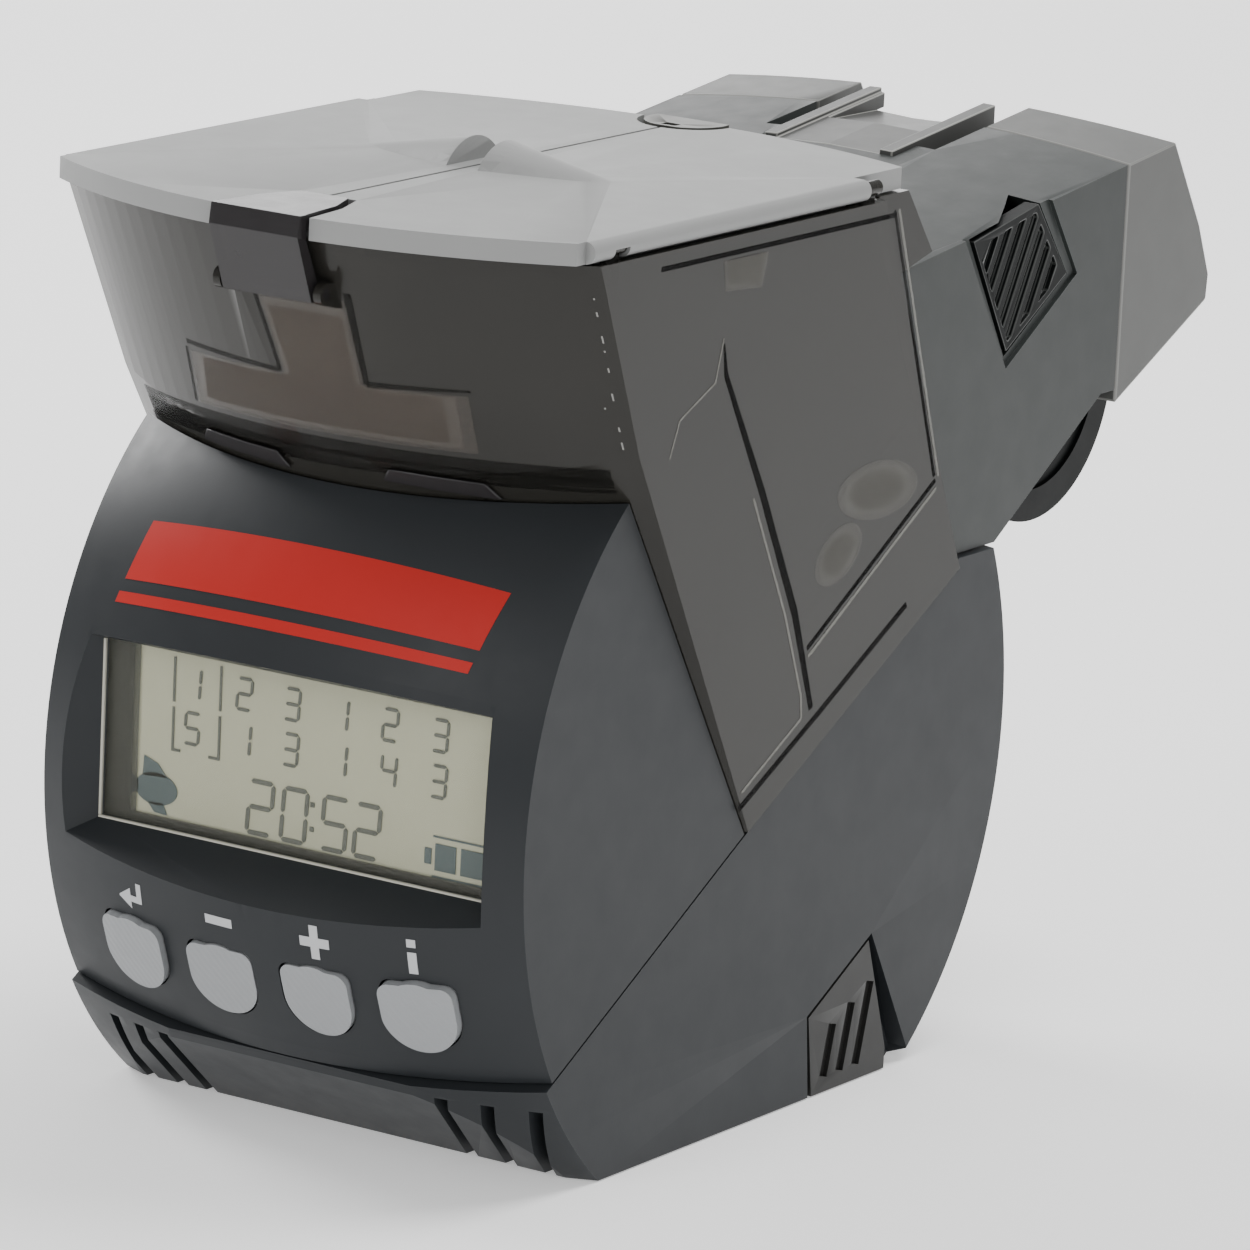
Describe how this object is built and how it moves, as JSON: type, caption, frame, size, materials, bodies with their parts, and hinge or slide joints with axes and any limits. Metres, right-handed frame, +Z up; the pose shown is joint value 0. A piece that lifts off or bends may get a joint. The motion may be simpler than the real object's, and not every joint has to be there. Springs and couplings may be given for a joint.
{
  "type": "automatic fish feeder",
  "caption": "Battery automatic fish feeder: drum-shaped base with display and keys, smoked two-chamber hopper with hinged lids, feed screws, rear housing with turning outlet drum and end cap.",
  "frame": {"origin": "On the flat underside of the base, at mid width, below the axis of the drum-shaped base", "axes": "+Z up, +Y from the display to the outlet end, +X to the right seen from the display"},
  "size_m": [0.0876, 0.1857, 0.1349],
  "materials": {
    "base_plastic": "fine satin texture",
    "housing_plastic": "fine satin texture",
    "lens": "clear window",
    "display": "greenish beige liquid crystal panel",
    "board": "solder resist",
    "key_mat": "silicone",
    "keys": "light silver grey",
    "tray": "plain",
    "cells": "plain sleeve",
    "contacts": "plated",
    "cover": "fine satin texture",
    "feet": "soft",
    "screws": "zinc plated",
    "fan": "plain",
    "bracket": "plain",
    "motor": "plated can",
    "pinion": "machined",
    "gear": "natural acetal",
    "hopper": "smoked translucent",
    "rear_housing": "fine satin texture",
    "bearing": "plain",
    "screw": "natural acetal",
    "lid": "fine satin texture",
    "pins": "drawn",
    "front_clip": "smoked translucent",
    "rear_clip": "smoked translucent",
    "outlet": "ribbed",
    "grip": "ribbed",
    "cap": "fine satin texture",
    "latch": "fine satin texture"
  },
  "bodies": {
    "base": {"base_shell": "base_plastic", "control_housing": "housing_plastic", "display_lens": "lens", "display_module": "display", "main_board": "board", "key_board": "board", "key_mat": "key_mat", "battery_tray": "tray", "battery_cells": "cells", "battery_contacts": "contacts", "rubber_feet": "feet", "housing_screws": "screws", "fan_frame": "fan", "motor_bracket": "bracket", "motor_left": "motor", "motor_right": "motor"},
    "food_unit": {"hopper": "hopper", "rear_housing": "rear_housing", "screw_bearing_left": "bearing", "screw_bearing_right": "bearing", "lid_hinge_pins": "pins"},
    "key_enter_body": {"key_enter": "keys"},
    "key_minus_body": {"key_minus": "keys"},
    "key_plus_body": {"key_plus": "keys"},
    "key_info_body": {"key_info": "keys"},
    "battery_cover_body": {"battery_cover": "cover"},
    "fan_rotor_body": {"fan_rotor": "fan"},
    "pinion_left_body": {"pinion_left": "pinion"},
    "pinion_right_body": {"pinion_right": "pinion"},
    "drive_gear_left_body": {"drive_gear_left": "gear"},
    "drive_gear_right_body": {"drive_gear_right": "gear"},
    "feed_screw_left_body": {"feed_screw_left": "screw"},
    "feed_screw_right_body": {"feed_screw_right": "screw"},
    "lid_left_body": {"lid_left": "lid"},
    "lid_right_body": {"lid_right": "lid"},
    "front_clip_body": {"front_clip": "front_clip"},
    "rear_clip_body": {"rear_clip": "rear_clip"},
    "outlet_drum_body": {"outlet_drum": "outlet"},
    "release_grip_left_body": {"release_grip_left": "grip"},
    "release_grip_right_body": {"release_grip_right": "grip"},
    "rear_cap_body": {"rear_cap": "cap"},
    "cap_latch_body": {"cap_latch": "latch"}
  },
  "joints": [
    {"name": "key_enter_press", "type": "slide", "parent": "base", "child": "key_enter_body", "axis": [0, 0.9291, 0.3697], "range_m": [0, 0.0008], "stiffness_N_per_m": 300},
    {"name": "key_minus_press", "type": "slide", "parent": "base", "child": "key_minus_body", "axis": [0, 0.9291, 0.3697], "range_m": [0, 0.0008], "stiffness_N_per_m": 300},
    {"name": "key_plus_press", "type": "slide", "parent": "base", "child": "key_plus_body", "axis": [0, 0.9291, 0.3697], "range_m": [0, 0.0008], "stiffness_N_per_m": 300},
    {"name": "key_info_press", "type": "slide", "parent": "base", "child": "key_info_body", "axis": [0, 0.9291, 0.3697], "range_m": [0, 0.0008], "stiffness_N_per_m": 300},
    {"name": "food_unit_slide", "type": "slide", "parent": "base", "child": "food_unit", "axis": [0, 0.866, 0.5], "range_m": [0, 0.025]},
    {"name": "lid_left_hinge", "type": "hinge", "parent": "food_unit", "child": "lid_left_body", "pos_m": [-0.0423, 0, 0.13], "axis": [0, -1, 0], "range_deg": [0, 90]},
    {"name": "lid_right_hinge", "type": "hinge", "parent": "food_unit", "child": "lid_right_body", "pos_m": [0.0423, 0, 0.13], "axis": [0, 1, 0], "range_deg": [0, 90]},
    {"name": "front_clip_flex", "type": "hinge", "parent": "food_unit", "child": "front_clip_body", "pos_m": [0, -0.0664, 0.121], "axis": [1, 0, 0], "range_deg": [0, 20], "stiffness_Nm_per_rad": 0.02},
    {"name": "rear_clip_flex", "type": "hinge", "parent": "food_unit", "child": "rear_clip_body", "pos_m": [0, 0.031, 0.1214], "axis": [-1, 0, 0], "range_deg": [0, 15], "stiffness_Nm_per_rad": 0.02},
    {"name": "feed_screw_left_spin", "type": "hinge", "parent": "food_unit", "child": "feed_screw_left_body", "pos_m": [-0.02, -0.01125, 0.05149], "axis": [0, 0.866, 0.5], "continuous": true},
    {"name": "drive_gear_left_spin", "type": "hinge", "parent": "base", "child": "drive_gear_left_body", "pos_m": [-0.02, -0.01125, 0.05149], "axis": [0, 0.866, 0.5], "continuous": true},
    {"name": "pinion_left_spin", "type": "hinge", "parent": "base", "child": "pinion_left_body", "pos_m": [-0.02, -0.01725, 0.06189], "axis": [0, 0.866, 0.5], "continuous": true},
    {"name": "feed_screw_right_spin", "type": "hinge", "parent": "food_unit", "child": "feed_screw_right_body", "pos_m": [0.02, -0.01125, 0.05149], "axis": [0, 0.866, 0.5], "continuous": true},
    {"name": "drive_gear_right_spin", "type": "hinge", "parent": "base", "child": "drive_gear_right_body", "pos_m": [0.02, -0.01125, 0.05149], "axis": [0, 0.866, 0.5], "continuous": true},
    {"name": "pinion_right_spin", "type": "hinge", "parent": "base", "child": "pinion_right_body", "pos_m": [0.02, -0.01725, 0.06189], "axis": [0, 0.866, 0.5], "continuous": true},
    {"name": "fan_spin", "type": "hinge", "parent": "base", "child": "fan_rotor_body", "pos_m": [0, -0.031, 0.0132], "axis": [0, 1, 0], "continuous": true},
    {"name": "battery_cover_hinge", "type": "hinge", "parent": "base", "child": "battery_cover_body", "pos_m": [0, -0.024, 0.0017], "axis": [-1, 0, 0], "range_deg": [0, 80]},
    {"name": "outlet_turn", "type": "hinge", "parent": "food_unit", "child": "outlet_drum_body", "pos_m": [0, 0.0745, 0.0933], "axis": [1, 0, 0], "range_deg": [0, 70]},
    {"name": "release_grip_left_press", "type": "slide", "parent": "food_unit", "child": "release_grip_left_body", "axis": [1, 0, 0], "range_m": [0, 0.0012], "stiffness_N_per_m": 300},
    {"name": "release_grip_right_press", "type": "slide", "parent": "food_unit", "child": "release_grip_right_body", "axis": [-1, 0, 0], "range_m": [0, 0.0012], "stiffness_N_per_m": 300},
    {"name": "rear_cap_slide", "type": "slide", "parent": "food_unit", "child": "rear_cap_body", "axis": [0, 1, 0], "range_m": [0, 0.015]},
    {"name": "cap_latch_flex", "type": "hinge", "parent": "food_unit", "child": "cap_latch_body", "pos_m": [0, 0.07, 0.1245], "axis": [-1, 0, 0], "range_deg": [0, 5], "stiffness_Nm_per_rad": 0.3}
  ],
  "couplings": [
    {"joint": "drive_gear_left_spin", "follows": "feed_screw_left_spin", "ratio": 1},
    {"joint": "pinion_left_spin", "follows": "feed_screw_left_spin", "ratio": -2.3333},
    {"joint": "drive_gear_right_spin", "follows": "feed_screw_right_spin", "ratio": 1},
    {"joint": "pinion_right_spin", "follows": "feed_screw_right_spin", "ratio": -2.3333}
  ]
}
